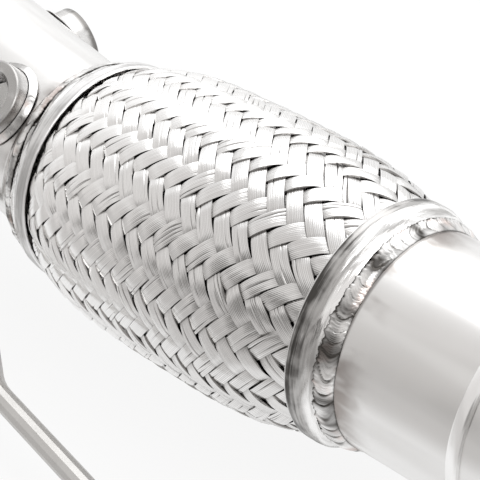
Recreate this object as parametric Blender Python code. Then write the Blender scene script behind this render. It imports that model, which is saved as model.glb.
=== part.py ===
"""Exhaust downpipe with a braided flex section, in metres, +Z up.

The flex section's axis is the X axis of the line that the pipe is laid out on, with the outlet
towards +X. The whole pipe lies on a flat surface, on the lower edges of its two flanges.
"""
import math

import bmesh
import bpy
from mathutils import Matrix, Vector

# Driving dimensions, in metres and degrees.
GAP = 0.0003                    # left between pieces that meet
ROUND_STEPS = 28                # facets round the tubes
BUNG_STEPS = 20                 # facets round the bungs
HOLE_STEPS = 12                 # facets round a bolt hole
CORNER_STEPS = 4                # facets in a plate's corner
ROD_STEPS = 12                  # facets round the hanger rod
ROD_WELD_STEPS = 8

PIPE_RADIUS = 0.0381            # 3 inch tube, outside
INLET_RADIUS = 0.0350           # 70 mm inlet tube, outside
PIPE_WALL = 0.0015

RIM_SPAN = 0.1272               # between the rims of the two collars
COLLAR_RISE = 0.00507           # the band over the outlet tube
COLLAR_WALL = 0.0012
COLLAR_BAND = 0.0045            # the straight band behind the rim
COLLAR_SHOULDER = 0.01024       # rim to the end of the cone
SHOULDER_RISE = 0.00244         # the cone's small end over the outlet tube
COLLAR_LENGTH = 0.0126
TUBE_START = 0.0094             # rim to the tube's end inside the collar

BRAID_STRANDS = 32              # strands that wind each way
BRAID_RIM_RISE = 0.0032         # the braid over the outlet tube: at a rim, at its crown
BRAID_CROWN_RISE = 0.01165
BRAID_END_RISE = 0.0022         # tucked under the collar's cone
BRAID_END_REACH = 0.0070        # from the rim
BRAID_WALL = 0.0014
BRAID_RELIEF = 0.0007           # how far a strand stands over the grooves
BRAID_ANGLE = 52.6              # strand to axis at the crown
BRAID_PHASE = 14.5              # turns the weave round the axis
BRAID_WALL_ROWS = 8             # rows of the weave for each ring of the inner wall
STRAND_EDGE = 0.14              # share of a strand's width that slopes down at each edge
STRAND_DIVE = 0.30              # share of a crossing over which a strand's end slopes down
INLET_CROWN = (4.04, 0.857)     # exponents of the crown's curve, each half
OUTLET_CROWN = (3.58, 1.084)

BELLOWS_WALL = 0.0004
BELLOWS_CREST_DROP = 0.00525    # under the braid's crown
BELLOWS_HALF_LENGTH = 0.046     # the part that has convolutions
BELLOWS_CONVOLUTIONS = 6
BELLOWS_CREST = 0.4             # share of a convolution's pitch that its flat crest takes
BELLOWS_STEPS = 20              # facets round the bellows
LINER_WALL = 0.0008

WELD_END = 0.01519              # rim to the weld's toe on the tube
WELD_RISE = 0.0010              # how far a weld's crown stands over a flat fillet
WELD_LUMPS = 24                 # round a collar's weld
WELD_CREST = (0.35, 0.75)       # shares of a collar weld's width between which its crown lies
WELD_LEG = 0.005                # fillet at the flanges
FILLET_FACE = 0.6               # share of a fillet's leg at which its rounded face stands

STUB_END = 0.06285              # rim to the end of the outlet's straight piece
SEAM_WIDTH = 0.0042
SEAM_FLAT = 0.56                # share of the seam's width that its crown takes
SEAM_RISE = 0.0010

OUTLET_LEAD = 0.005
OUTLET_BEND_RADIUS = 0.1143
OUTLET_BEND_ANGLE = 35.0
OUTLET_BEND_STEPS = 4
OUTLET_TAIL = 0.045

KINK_START = 0.016              # rim to the start of the inlet tube's first bend
KINK_RADIUS = 0.020
KINK_ANGLE = 9.0
KINK_ROLL = 39.0                # of the bend's plane, from level towards up
INLET_RUN = 0.120
INLET_BEND_RADIUS = 0.105
INLET_BEND_ANGLE = 50.0
INLET_BEND_STEPS = 6
INLET_TAIL = 0.030

OUTLET_FLANGE = 0.115           # side of the square plate
OUTLET_FLANGE_THICKNESS = 0.010
OUTLET_BOLT_EDGE = 0.013        # from the plate's sides to a bolt hole's centre
INLET_FLANGE = 0.104
INLET_FLANGE_THICKNESS = 0.012
INLET_BOLT_EDGE = 0.012
FLANGE_CORNER = 0.013
BOLT_HOLE_RADIUS = 0.00525
PLATE_SETBACK = 0.002           # the tube's end to the plate's face

BUNG_RADIUS = 0.014
BUNG_BORE = 0.0089
BUNG_HEIGHT = 0.007             # over the tube's crown
BUNG_CHAMFER = 0.0010
BUNG_WELD = 0.0022
FRONT_BUNG = (0.017, 224.0)     # distance along the inlet run, angle round it
REAR_BUNG = (0.064, 352.0)

ROD_RADIUS = 0.0040
ROD_CHAMFER = 0.0012
ROD_ANGLE = 157.3               # round the inlet run
ROD_OFFSET = 0.0822             # free end's axis to the tube's axis
ROD_JOGGLE = 27.0
ROD_BEND_RADIUS = 0.020
ROD_SEAT = 0.040                # length that lies along the tube
ROD_SEAT_START = 0.028          # along the inlet run
ROD_FREE = 0.062
ROD_WELD_RADIUS = 0.0015
ROD_WELD_LENGTH = 0.034

RIM_X = RIM_SPAN / 2
COLLAR_RADIUS = PIPE_RADIUS + COLLAR_RISE
SHOULDER_RADIUS = PIPE_RADIUS + SHOULDER_RISE
BRAID_RIM_RADIUS = PIPE_RADIUS + BRAID_RIM_RISE
BRAID_CROWN_RADIUS = PIPE_RADIUS + BRAID_CROWN_RISE
BRAID_END_RADIUS = PIPE_RADIUS + BRAID_END_RISE
BELLOWS_CREST_RADIUS = BRAID_CROWN_RADIUS - BELLOWS_CREST_DROP
FLOOR = -OUTLET_FLANGE / 2      # height of the surface under the flex section's axis


def steel(name, finish):
    colour, roughness = finish
    material = bpy.data.materials.new(name)
    material.use_nodes = True
    shader = material.node_tree.nodes["Principled BSDF"]
    shader.inputs["Base Color"].default_value = (*colour, 1.0)
    shader.inputs["Roughness"].default_value = roughness
    shader.inputs["Metallic"].default_value = 1.0
    return material


def add_object(name, mesh, finish, smooth=True):
    obj = bpy.data.objects.new(name, mesh)
    bpy.context.collection.objects.link(obj)
    mesh.materials.append(steel(name, finish))
    if smooth:
        mesh.shade_smooth()
        mesh.set_sharp_from_angle(angle=math.radians(35))
    obj.parent = pipe
    return obj


def close_mesh(name, points, faces):
    """A mesh of these faces, welded where points coincide and turned to face outward."""
    mesh = bpy.data.meshes.new(name)
    mesh.from_pydata([tuple(point) for point in points], [], faces)
    shell = bmesh.new()
    shell.from_mesh(mesh)
    bmesh.ops.remove_doubles(shell, verts=shell.verts, dist=1e-7)
    bmesh.ops.recalc_face_normals(shell, faces=shell.faces)
    shell.to_mesh(mesh)
    shell.free()
    return mesh


def loft(name, rings, looped):
    """Skin a list of rings. Looped joins the last ring to the first, otherwise the ends are capped."""
    count = len(rings[0])
    points = [point for ring in rings for point in ring]
    faces = []
    spans = len(rings) if looped else len(rings) - 1
    for k in range(spans):
        here = k * count
        there = (k + 1) % len(rings) * count
        for a in range(count):
            b = (a + 1) % count
            faces.append((here + a, here + b, there + b, there + a))
    if not looped:
        faces.append(tuple(range(count)))
        faces.append(tuple(range(here + count, here + 2 * count)))
    return close_mesh(name, points, faces)


def turned_ring(x, radius, steps, wave=None):
    """Points of a circle round the X axis. A wave changes the radius with the angle."""
    ring = []
    for k in range(steps):
        angle = 2 * math.pi * k / steps
        r = radius + (wave(angle) if wave else 0.0)
        ring.append(Vector((x, r * math.cos(angle), r * math.sin(angle))))
    return ring


class Route:
    """A centre line made of straight runs and bends, kept as stations with a frame at each."""

    def __init__(self, position, heading, side):
        self.stations = [(Vector(position), Vector(heading), Vector(side))]

    def end(self):
        return self.stations[-1]

    def run(self, length):
        position, heading, side = self.end()
        self.stations.append((position + heading * length, heading, side))
        return self

    def bend(self, radius, degrees, toward, steps):
        position, heading, side = self.end()
        centre = position + toward * radius
        axis = heading.cross(toward)
        for k in range(1, steps + 1):
            turn = Matrix.Rotation(math.radians(degrees) * k / steps, 3, axis)
            self.stations.append((centre + turn @ (position - centre), turn @ heading, turn @ side))
        return self


def section(station, radius, steps):
    position, heading, side = station
    other = heading.cross(side)
    ring = []
    for k in range(steps):
        angle = 2 * math.pi * k / steps
        ring.append(position + side * (radius * math.cos(angle)) + other * (radius * math.sin(angle)))
    return ring


def tube(name, stations, radii):
    outside = [section(s, r, ROUND_STEPS) for s, r in zip(stations, radii)]
    inside = [section(s, r - PIPE_WALL, ROUND_STEPS) for s, r in zip(stations, radii)]
    return add_object(name, loft(name, outside + inside[::-1], True), TUBE_STEEL)


def frame_matrix(position, x_axis, z_axis):
    """Places a piece that was made at the origin: its own X and Z axes go along these."""
    y_axis = z_axis.cross(x_axis)
    turn = Matrix((x_axis, y_axis, z_axis)).transposed()
    return Matrix.Translation(position) @ turn.to_4x4()


def around(heading, side, degrees):
    """The unit vector at this angle round a heading, from its side vector."""
    other = heading.cross(side)
    angle = math.radians(degrees)
    return side * math.cos(angle) + other * math.sin(angle)


for old in list(bpy.data.objects):
    bpy.data.objects.remove(old)
pipe = bpy.data.objects.new("downpipe", None)
bpy.context.collection.objects.link(pipe)

# Each finish is a colour and a roughness.
TUBE_STEEL = ((0.76, 0.755, 0.75), 0.27)
COLLAR_STEEL = ((0.66, 0.65, 0.64), 0.24)
BRAID_STEEL = ((0.70, 0.69, 0.68), 0.28)
LINER_STEEL = ((0.60, 0.60, 0.60), 0.35)
WELD_STEEL = ((0.58, 0.54, 0.51), 0.34)
PLATE_STEEL = ((0.60, 0.60, 0.60), 0.38)
BUNG_STEEL = ((0.68, 0.67, 0.66), 0.30)
ROD_STEEL = ((0.60, 0.60, 0.60), 0.30)


# The two collars: pressed steel caps with a straight band, a cone and a lip that holds the tube.
def make_collar(name, end):
    lip_inside = PIPE_RADIUS + GAP
    lip_outside = lip_inside + COLLAR_WALL
    slope = (COLLAR_RADIUS - SHOULDER_RADIUS) / (COLLAR_SHOULDER - COLLAR_BAND)
    inner_end = COLLAR_SHOULDER - COLLAR_WALL
    profile = [
        (0.0, COLLAR_RADIUS - COLLAR_WALL),
        (0.0, COLLAR_RADIUS - COLLAR_WALL / 3),
        (COLLAR_WALL / 2, COLLAR_RADIUS),
        (COLLAR_BAND, COLLAR_RADIUS),
        (COLLAR_SHOULDER, SHOULDER_RADIUS),
        (COLLAR_SHOULDER, lip_outside),
        (COLLAR_LENGTH, lip_outside),
        (COLLAR_LENGTH, lip_inside),
        (inner_end, lip_inside),
        (inner_end, SHOULDER_RADIUS - COLLAR_WALL + slope * COLLAR_WALL),
        (COLLAR_BAND, COLLAR_RADIUS - COLLAR_WALL),
    ]
    rings = [turned_ring(end * (RIM_X + s), r, ROUND_STEPS) for s, r in profile]
    add_object(name, loft(name, rings, True), COLLAR_STEEL)


# The weld that joins a collar's lip to its tube, a row of lumps laid one on the other.
def make_collar_weld(name, end):
    lip_top = PIPE_RADIUS + 2 * GAP + COLLAR_WALL
    root = COLLAR_SHOULDER + GAP
    width = WELD_END - root
    tube_top = PIPE_RADIUS + GAP
    first, last = WELD_CREST

    def lump(angle):
        return WELD_RISE / 4 * math.cos(WELD_LUMPS * angle)

    profile = [
        (root, lip_top, None),
        (root, SHOULDER_RADIUS + GAP, None),
        (root + first * width, SHOULDER_RADIUS + WELD_RISE / 2, lump),
        (root + last * width, tube_top + 2 * WELD_RISE, lump),
        (WELD_END, tube_top, None),
        (COLLAR_LENGTH + GAP, tube_top, None),
        (COLLAR_LENGTH + GAP, lip_top, None),
    ]
    rings = [turned_ring(end * (RIM_X + s), r, 2 * WELD_LUMPS, wave) for s, r, wave in profile]
    add_object(name, loft(name, rings, True), WELD_STEEL)


# The braid: flat strands woven over two and under two round the flex section.
def braid_radius(x):
    """Outside radius of the strands at a place along the axis."""
    reach = abs(x) / RIM_X
    if reach >= 1.0:
        tuck = min((abs(x) - RIM_X) / BRAID_END_REACH, 1.0)
        return BRAID_RIM_RADIUS + (BRAID_END_RADIUS - BRAID_RIM_RADIUS) * tuck ** 2
    power, fullness = OUTLET_CROWN if x > 0 else INLET_CROWN
    rise = (1 - reach ** power) ** fullness
    return BRAID_RIM_RADIUS + (BRAID_CROWN_RADIUS - BRAID_RIM_RADIUS) * rise


def braid_rows():
    """Places along the axis where crossing strands meet, one for each half step of twist."""
    row_twist = math.pi / BRAID_STRANDS
    lay = math.sin(math.radians(BRAID_ANGLE)) / BRAID_CROWN_RADIUS
    end = RIM_X + BRAID_END_REACH
    places = {}
    for direction in (1, -1):
        x = 0.0
        twist = 0.0
        row = 0
        step = 0.00005
        while x < end:
            r = braid_radius(direction * x)
            slope = (braid_radius(direction * (x + step)) - r) / step
            spread = math.asin(lay * r)
            twist += math.tan(spread) / r * math.hypot(1.0, slope) * step
            x += step
            if twist >= (row + 1) * row_twist:
                row += 1
                places[direction * row] = direction * x
    places[0] = 0.0
    return places


def make_braid():
    rows = braid_rows()
    last = min(max(rows), -min(rows))
    around_step = math.pi / BRAID_STRANDS
    columns = 2 * BRAID_STRANDS
    points = []
    index = {}

    def place(p, q, lift):
        low, high = math.floor(q), math.ceil(q)
        x = rows[low] + (rows[high] - rows[low]) * (q - low)
        r = braid_radius(x) - BRAID_RELIEF + lift
        angle = math.radians(BRAID_PHASE) + around_step * p
        return Vector((x, r * math.cos(angle), r * math.sin(angle)))

    def groove(p, q):
        key = (p % columns, q)
        if key not in index:
            index[key] = len(points)
            points.append(place(p, q, 0.0))
        return index[key]

    def raised(p, q):
        points.append(place(p, q, BRAID_RELIEF))
        return len(points) - 1

    faces = []

    def strand_over(p, q, length, lean):
        """One strand's visible length, over one or two crossings, leaning along or against q."""
        corner = {}
        for along in range(length + 1):
            for across in (0, 1):
                i = along - 0.5
                j = across - 0.5
                corner[along, across] = (p + i + j, q + lean * (i - j))
        low = {key: groove(round(a), round(b)) for key, (a, b) in corner.items()}

        def top(along, across):
            i = along - 0.5
            j = across - 0.5
            return raised(p + i + j, q + lean * (i - j))

        a = top(STRAND_DIVE, STRAND_EDGE)
        b = top(STRAND_DIVE, 1 - STRAND_EDGE)
        c = top(length - STRAND_DIVE, 1 - STRAND_EDGE)
        d = top(length - STRAND_DIVE, STRAND_EDGE)
        faces.append((a, b, c, d))
        faces.append((low[0, 0], low[0, 1], b, a))
        faces.append((low[length, 1], low[length, 0], d, c))
        for across, near, far in ((0, a, d), (1, b, c)):
            if length == 1:
                faces.append((low[0, across], low[1, across], far, near))
            else:
                faces.append((low[0, across], low[1, across], near))
                faces.append((low[1, across], far, near))
                faces.append((low[1, across], low[2, across], far))

    for q in range(-last + 1, last):
        for p in range(columns):
            if (p + q) % 2:
                continue
            lean = 1 if p % 4 in (1, 2) else -1
            first = p % 2 == 1
            partner_row = q + lean if first else q - lean
            whole = abs(partner_row) < last
            if whole and first:
                strand_over(p, q, 2, lean)
            elif not whole:
                strand_over(p, q, 1, lean)
    for end in (-last, last):
        inward = end - math.copysign(1, end)
        for p in range(columns):
            if (p + end) % 2 == 0:
                faces.append((groove(p - 1, end), groove(p + 1, end), groove(p, int(inward))))
    wall_rows = [-last] + [q for q in range(-last + 1, last) if q % BRAID_WALL_ROWS == 0] + [last]
    inner = []
    for q in wall_rows:
        ring = []
        for k in range(BRAID_STRANDS):
            p = 2 * k + (last + 1) % 2
            x = rows[q]
            r = braid_radius(x) - BRAID_WALL
            angle = math.radians(BRAID_PHASE) + around_step * p
            ring.append(len(points))
            points.append(Vector((x, r * math.cos(angle), r * math.sin(angle))))
        inner.append(ring)
    edge_low = [groove(2 * k + (last + 1) % 2, -last) for k in range(BRAID_STRANDS)]
    edge_high = [groove(2 * k + (last + 1) % 2, last) for k in range(BRAID_STRANDS)]
    bands = [edge_low] + inner + [edge_high]
    for here, there in zip(bands, bands[1:]):
        for k in range(BRAID_STRANDS):
            n = (k + 1) % BRAID_STRANDS
            faces.append((here[k], here[n], there[n], there[k]))
    mesh = close_mesh("flex_braid", points, faces)
    add_object("flex_braid", mesh, BRAID_STEEL)


# The bellows under the braid, a thin corrugated tube with a plain sleeve at each end.
def make_bellows():
    sleeve_outside = BRAID_END_RADIUS - BRAID_WALL - 2 * GAP
    sleeve_end = RIM_X + COLLAR_BAND
    pitch = 2 * BELLOWS_HALF_LENGTH / BELLOWS_CONVOLUTIONS
    rise = (1 - BELLOWS_CREST) / 2 * pitch
    profile = [(-sleeve_end, sleeve_outside)]
    for k in range(BELLOWS_CONVOLUTIONS):
        start = -BELLOWS_HALF_LENGTH + k * pitch
        profile.append((start, sleeve_outside))
        profile.append((start + rise, BELLOWS_CREST_RADIUS))
        profile.append((start + pitch - rise, BELLOWS_CREST_RADIUS))
    profile.append((BELLOWS_HALF_LENGTH, sleeve_outside))
    profile.append((sleeve_end, sleeve_outside))
    outside = [turned_ring(x, r, BELLOWS_STEPS) for x, r in profile]
    inside = [turned_ring(x, r - BELLOWS_WALL, BELLOWS_STEPS) for x, r in profile]
    add_object("flex_bellows", loft("flex_bellows", outside + inside[::-1], True), TUBE_STEEL)


# The liner that the gas runs through, a thin tube of wound strip.
def make_liner():
    outside = BRAID_END_RADIUS - BRAID_WALL - BELLOWS_WALL - 4 * GAP
    reach = RIM_X + TUBE_START - GAP
    inside = outside - LINER_WALL
    profile = [(-reach, outside), (reach, outside), (reach, inside), (-reach, inside)]
    rings = [turned_ring(x, r, ROUND_STEPS) for x, r in profile]
    add_object("flex_liner", loft("flex_liner", rings, True), LINER_STEEL)


# A flange: a square plate with rounded corners, the tube's hole and four bolt holes.
def circle_loop(centre, radius, steps):
    cx, cy = centre
    angles = [2 * math.pi * k / steps for k in range(steps)]
    return [(cx + radius * math.cos(angle), cy + radius * math.sin(angle)) for angle in angles]


def make_flange(name, place, side, thickness, bore, bolt_edge):
    half = side / 2
    outline = []
    reach = half - FLANGE_CORNER
    for corner, (sx, sy) in enumerate(((1, 1), (-1, 1), (-1, -1), (1, -1))):
        for k in range(CORNER_STEPS + 1):
            angle = math.pi / 2 * (corner + k / CORNER_STEPS)
            x = sx * reach + FLANGE_CORNER * math.cos(angle)
            y = sy * reach + FLANGE_CORNER * math.sin(angle)
            outline.append((x, y))
    loops = [outline, circle_loop((0.0, 0.0), bore, ROUND_STEPS)]
    for sx in (-1, 1):
        for sy in (-1, 1):
            centre = (sx * (half - bolt_edge), sy * (half - bolt_edge))
            loops.append(circle_loop(centre, BOLT_HOLE_RADIUS, HOLE_STEPS))
    plate = bmesh.new()
    for loop in loops:
        verts = [plate.verts.new((x, y, -thickness)) for x, y in loop]
        for k, vert in enumerate(verts):
            plate.edges.new((vert, verts[(k + 1) % len(verts)]))
    bmesh.ops.triangle_fill(plate, edges=plate.edges, use_beauty=True)
    faces = bmesh.ops.extrude_face_region(plate, geom=plate.faces[:])["geom"]
    moved = [item for item in faces if isinstance(item, bmesh.types.BMVert)]
    bmesh.ops.translate(plate, verts=moved, vec=(0, 0, thickness))
    bmesh.ops.recalc_face_normals(plate, faces=plate.faces)
    mesh = bpy.data.meshes.new(name)
    plate.to_mesh(mesh)
    plate.free()
    obj = add_object(name, mesh, PLATE_STEEL, smooth=False)
    obj.matrix_local = place


def make_flange_weld(name, place, thickness, tube_radius):
    back = -thickness - GAP
    inner = tube_radius + GAP
    profile = [
        (back, inner),
        (back, inner + WELD_LEG),
        (back - FILLET_FACE * WELD_LEG, inner + FILLET_FACE * WELD_LEG),
        (back - WELD_LEG, inner),
    ]
    rings = [[Vector((p.y, p.z, p.x)) for p in turned_ring(z, r, ROUND_STEPS)] for z, r in profile]
    obj = add_object(name, loft(name, rings, True), WELD_STEEL)
    obj.matrix_local = place


def flange_place(station):
    """A plate's frame: its Z axis runs out of the pipe, its Y axis is as near to up as it can be."""
    position, heading, _ = station
    across = heading.cross(Vector((0, 0, 1))).normalized()
    return frame_matrix(position + heading * PLATE_SETBACK, -across, heading)


# Outlet side: a straight piece, a butt weld, the bend and its flange.
def make_outlet():
    ahead = Vector((1, 0, 0))
    stub = Route((RIM_X + TUBE_START, 0, 0), ahead, (0, 1, 0)).run(STUB_END - TUBE_START)
    tube("outlet_stub", stub.stations, [PIPE_RADIUS] * 2)

    seam_middle = RIM_X + STUB_END + GAP / 2
    surface = PIPE_RADIUS + GAP
    edge = SEAM_WIDTH / 2
    flat = edge * SEAM_FLAT
    profile = [
        (seam_middle - edge, surface),
        (seam_middle - flat, surface + SEAM_RISE),
        (seam_middle + flat, surface + SEAM_RISE),
        (seam_middle + edge, surface),
    ]
    rings = [turned_ring(x, r, ROUND_STEPS) for x, r in profile]
    add_object("weld_outlet_seam", loft("weld_outlet_seam", rings, True), WELD_STEEL)

    route = Route((RIM_X + STUB_END + GAP, 0, 0), ahead, (0, 1, 0))
    route.run(OUTLET_LEAD)
    route.bend(OUTLET_BEND_RADIUS, OUTLET_BEND_ANGLE, Vector((0, -1, 0)), OUTLET_BEND_STEPS)
    route.run(OUTLET_TAIL)
    tube("outlet_bend", route.stations, [PIPE_RADIUS] * len(route.stations))
    place = flange_place(route.end())
    thickness = OUTLET_FLANGE_THICKNESS
    make_flange("outlet_flange", place, OUTLET_FLANGE, thickness, PIPE_RADIUS + GAP, OUTLET_BOLT_EDGE)
    make_flange_weld("weld_outlet_flange", place, thickness, PIPE_RADIUS)


# Inlet side: the tube is drawn down from the collar's size and turns a little just past the weld.
def inlet_run_start():
    roll = math.radians(KINK_ROLL)
    route = Route((-(RIM_X + TUBE_START), 0, 0), (-1, 0, 0), (0, 1, 0))
    route.run(KINK_START - TUBE_START)
    route.bend(KINK_RADIUS, KINK_ANGLE, Vector((0, math.cos(roll), math.sin(roll))), 2)
    return route


def inlet_route(roll):
    """The whole inlet centre line, with its large bend rolled this far from level."""
    route = inlet_run_start()
    route.run(INLET_RUN)
    heading = route.end()[1]
    level = heading.cross(Vector((0, 0, 1))).normalized()
    toward = Matrix.Rotation(roll, 3, heading) @ level
    route.bend(INLET_BEND_RADIUS, INLET_BEND_ANGLE, toward, INLET_BEND_STEPS)
    route.run(INLET_TAIL)
    return route


def inlet_flange_drop(roll):
    """Height of the inlet flange's lowest edge over the surface that the outlet flange stands on."""
    position, heading, _ = inlet_route(roll).end()
    face = position + heading * PLATE_SETBACK
    steepest = math.sqrt(1 - heading.z ** 2)
    return face.z - INLET_FLANGE / 2 * steepest - FLOOR


def resting_roll():
    """The roll at which both flanges touch the surface, found by halving."""
    low, high = math.radians(-80), math.radians(80)
    sign = 1 if inlet_flange_drop(high) > inlet_flange_drop(low) else -1
    for _ in range(50):
        middle = (low + high) / 2
        if inlet_flange_drop(middle) * sign > 0:
            high = middle
        else:
            low = middle
    return middle


def make_bung(name, place):
    """A threaded boss with its foot shaped to the tube. Its own Z axis runs out, X along the tube."""
    top = INLET_RADIUS + BUNG_HEIGHT

    def ring(radius, height):
        points = []
        for x, y in circle_loop((0.0, 0.0), radius, BUNG_STEPS):
            foot = math.sqrt(INLET_RADIUS ** 2 - y ** 2) + GAP
            points.append(Vector((x, y, foot if height is None else height)))
        return points

    rings = [
        ring(BUNG_RADIUS, None),
        ring(BUNG_RADIUS, top - BUNG_CHAMFER),
        ring(BUNG_RADIUS - BUNG_CHAMFER, top),
        ring(BUNG_BORE + BUNG_CHAMFER, top),
        ring(BUNG_BORE, top - BUNG_CHAMFER),
        ring(BUNG_BORE, None),
    ]
    obj = add_object(name, loft(name, rings, True), BUNG_STEEL)
    obj.matrix_local = place


def make_bung_weld(name, place):
    def ring(radius, lift):
        points = []
        for x, y in circle_loop((0.0, 0.0), radius, BUNG_STEPS):
            surface = math.sqrt(INLET_RADIUS ** 2 - y ** 2) + GAP
            points.append(Vector((x, y, surface + lift)))
        return points

    inner = BUNG_RADIUS + GAP
    rings = [
        ring(inner, 0.0),
        ring(inner + BUNG_WELD, 0.0),
        ring(inner + FILLET_FACE * BUNG_WELD, FILLET_FACE * BUNG_WELD),
        ring(inner, BUNG_WELD),
    ]
    obj = add_object(name, loft(name, rings, True), WELD_STEEL)
    obj.matrix_local = place


def cut_bung_hole(target, place, name):
    outline = circle_loop((0.0, 0.0), BUNG_BORE, BUNG_STEPS)
    rings = [[Vector((x, y, z)) for x, y in outline] for z in (0.0, 2 * INLET_RADIUS)]
    cutter = bpy.data.objects.new(name, loft(name, rings, False))
    bpy.context.collection.objects.link(cutter)
    cutter.parent = pipe
    cutter.matrix_local = place
    cutter.hide_render = True
    cutter.display_type = "WIRE"
    cut = target.modifiers.new(name, "BOOLEAN")
    cut.operation = "DIFFERENCE"
    cut.solver = "EXACT"
    cut.object = cutter


def bar(name, stations, radii, steps, finish):
    rings = [section(s, r, steps) for s, r in zip(stations, radii)]
    add_object(name, loft(name, rings, False), finish)


def make_hanger(start, heading, side):
    """The bent rod that hangs the pipe: its seat lies along the tube, its free end runs beside the flex."""
    back = -heading
    outward = around(heading, side, ROD_ANGLE)
    seat_radius = INLET_RADIUS + GAP + ROD_RADIUS
    seat_end = start + heading * ROD_SEAT_START + outward * seat_radius
    joggle = math.radians(ROD_JOGGLE)
    rise_in_bends = 2 * ROD_BEND_RADIUS * (1 - math.cos(joggle))
    slope = (ROD_OFFSET - seat_radius - rise_in_bends) / math.sin(joggle)
    route = Route(seat_end + heading * ROD_SEAT, back, outward)
    route.run(ROD_SEAT)
    route.bend(ROD_BEND_RADIUS, ROD_JOGGLE, outward, 3)
    route.run(slope)
    position, direction, lean = route.end()
    route.bend(ROD_BEND_RADIUS, ROD_JOGGLE, -lean, 3)
    route.run(ROD_FREE)
    tip = ROD_CHAMFER
    first = Route(seat_end + heading * (ROD_SEAT + tip), back, outward).stations
    route.run(tip)
    stations = first + route.stations
    radii = [ROD_RADIUS - tip] + [ROD_RADIUS] * (len(stations) - 2) + [ROD_RADIUS - tip]
    bar("hanger_rod", stations, radii, ROD_STEPS, ROD_STEEL)

    reach = INLET_RADIUS + GAP + ROD_WELD_RADIUS
    apart = ROD_RADIUS + GAP + ROD_WELD_RADIUS
    height = (reach ** 2 - apart ** 2 + seat_radius ** 2) / (2 * seat_radius)
    offset = math.sqrt(reach ** 2 - height ** 2)
    sideways = heading.cross(outward)
    margin = (ROD_SEAT - ROD_WELD_LENGTH) / 2
    for name, hand in (("weld_hanger_upper", 1), ("weld_hanger_lower", -1)):
        axis_start = start + heading * (ROD_SEAT_START + margin)
        foot = axis_start + outward * height + sideways * (hand * offset)
        line = Route(foot, heading, outward)
        line.run(ROD_WELD_RADIUS)
        line.run(ROD_WELD_LENGTH - 2 * ROD_WELD_RADIUS)
        line.run(ROD_WELD_RADIUS)
        full = ROD_WELD_RADIUS
        bar(name, line.stations, [full / 2, full, full, full / 2], ROD_WELD_STEPS, WELD_STEEL)


def make_inlet():
    route = inlet_route(resting_roll())
    stations = route.stations
    radii = [PIPE_RADIUS] * 2 + [INLET_RADIUS] * (len(stations) - 2)
    radii[2] = (PIPE_RADIUS + INLET_RADIUS) / 2
    body = tube("inlet_tube", stations, radii)
    start, heading, side = inlet_run_start().end()
    bungs = (("front", FRONT_BUNG), ("rear", REAR_BUNG))
    for label, (distance, degrees) in bungs:
        outward = around(heading, side, degrees)
        place = frame_matrix(start + heading * distance, heading, outward)
        make_bung("bung_" + label, place)
        make_bung_weld("weld_bung_" + label, place)
        cut_bung_hole(body, place, "cut_bung_" + label)
    place = flange_place(route.end())
    thickness = INLET_FLANGE_THICKNESS
    make_flange("inlet_flange", place, INLET_FLANGE, thickness, INLET_RADIUS + GAP, INLET_BOLT_EDGE)
    make_flange_weld("weld_inlet_flange", place, thickness, INLET_RADIUS)
    make_hanger(start, heading, side)


def stand_on_origin():
    """Moves the pipe so that the origin is under the middle of its box."""
    bpy.context.view_layer.update()
    corners = []
    for obj in bpy.data.objects:
        if obj.type == "MESH" and not obj.hide_render:
            corners += [obj.matrix_world @ vert.co for vert in obj.data.vertices]
    low = Vector([min(corner[axis] for corner in corners) for axis in range(3)])
    high = Vector([max(corner[axis] for corner in corners) for axis in range(3)])
    pipe.location = (-(low.x + high.x) / 2, -(low.y + high.y) / 2, -low.z)


for end, label in ((-1, "inlet"), (1, "outlet")):
    make_collar("collar_" + label, end)
    make_collar_weld("weld_" + label + "_collar", end)
make_braid()
make_bellows()
make_liner()
make_outlet()
make_inlet()
stand_on_origin()
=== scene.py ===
"""The looks of an exhaust downpipe with a braided flex section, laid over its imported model."""
import math

import bmesh
import bpy
import numpy as np
from mathutils import Matrix, Vector


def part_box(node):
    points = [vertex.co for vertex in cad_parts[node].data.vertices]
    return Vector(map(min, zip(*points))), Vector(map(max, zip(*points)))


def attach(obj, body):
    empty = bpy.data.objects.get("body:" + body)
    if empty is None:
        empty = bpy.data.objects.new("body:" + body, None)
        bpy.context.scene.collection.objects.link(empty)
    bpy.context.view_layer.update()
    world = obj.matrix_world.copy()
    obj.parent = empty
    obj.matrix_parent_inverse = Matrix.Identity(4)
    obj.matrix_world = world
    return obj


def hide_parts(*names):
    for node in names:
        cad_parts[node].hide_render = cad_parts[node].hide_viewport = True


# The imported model. The two collars give the flex section's axis and its middle, from which the
# pieces along that axis are laid out. Distances from a rim run away from the braid.
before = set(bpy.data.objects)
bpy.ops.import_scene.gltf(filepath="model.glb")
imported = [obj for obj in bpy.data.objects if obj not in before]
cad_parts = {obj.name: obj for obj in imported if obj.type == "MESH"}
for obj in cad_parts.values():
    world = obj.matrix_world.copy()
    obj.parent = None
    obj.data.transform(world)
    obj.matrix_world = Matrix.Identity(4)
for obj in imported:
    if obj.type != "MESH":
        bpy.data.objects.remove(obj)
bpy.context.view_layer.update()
outlet_low, outlet_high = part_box("collar_outlet")
_, inlet_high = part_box("collar_inlet")
axis_y = (outlet_low.y + outlet_high.y) / 2
axis_z = (outlet_low.z + outlet_high.z) / 2
middle = Vector(((inlet_high.x + outlet_low.x) / 2, axis_y, axis_z))
rim_reach = (outlet_low.x - inlet_high.x) / 2


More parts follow.
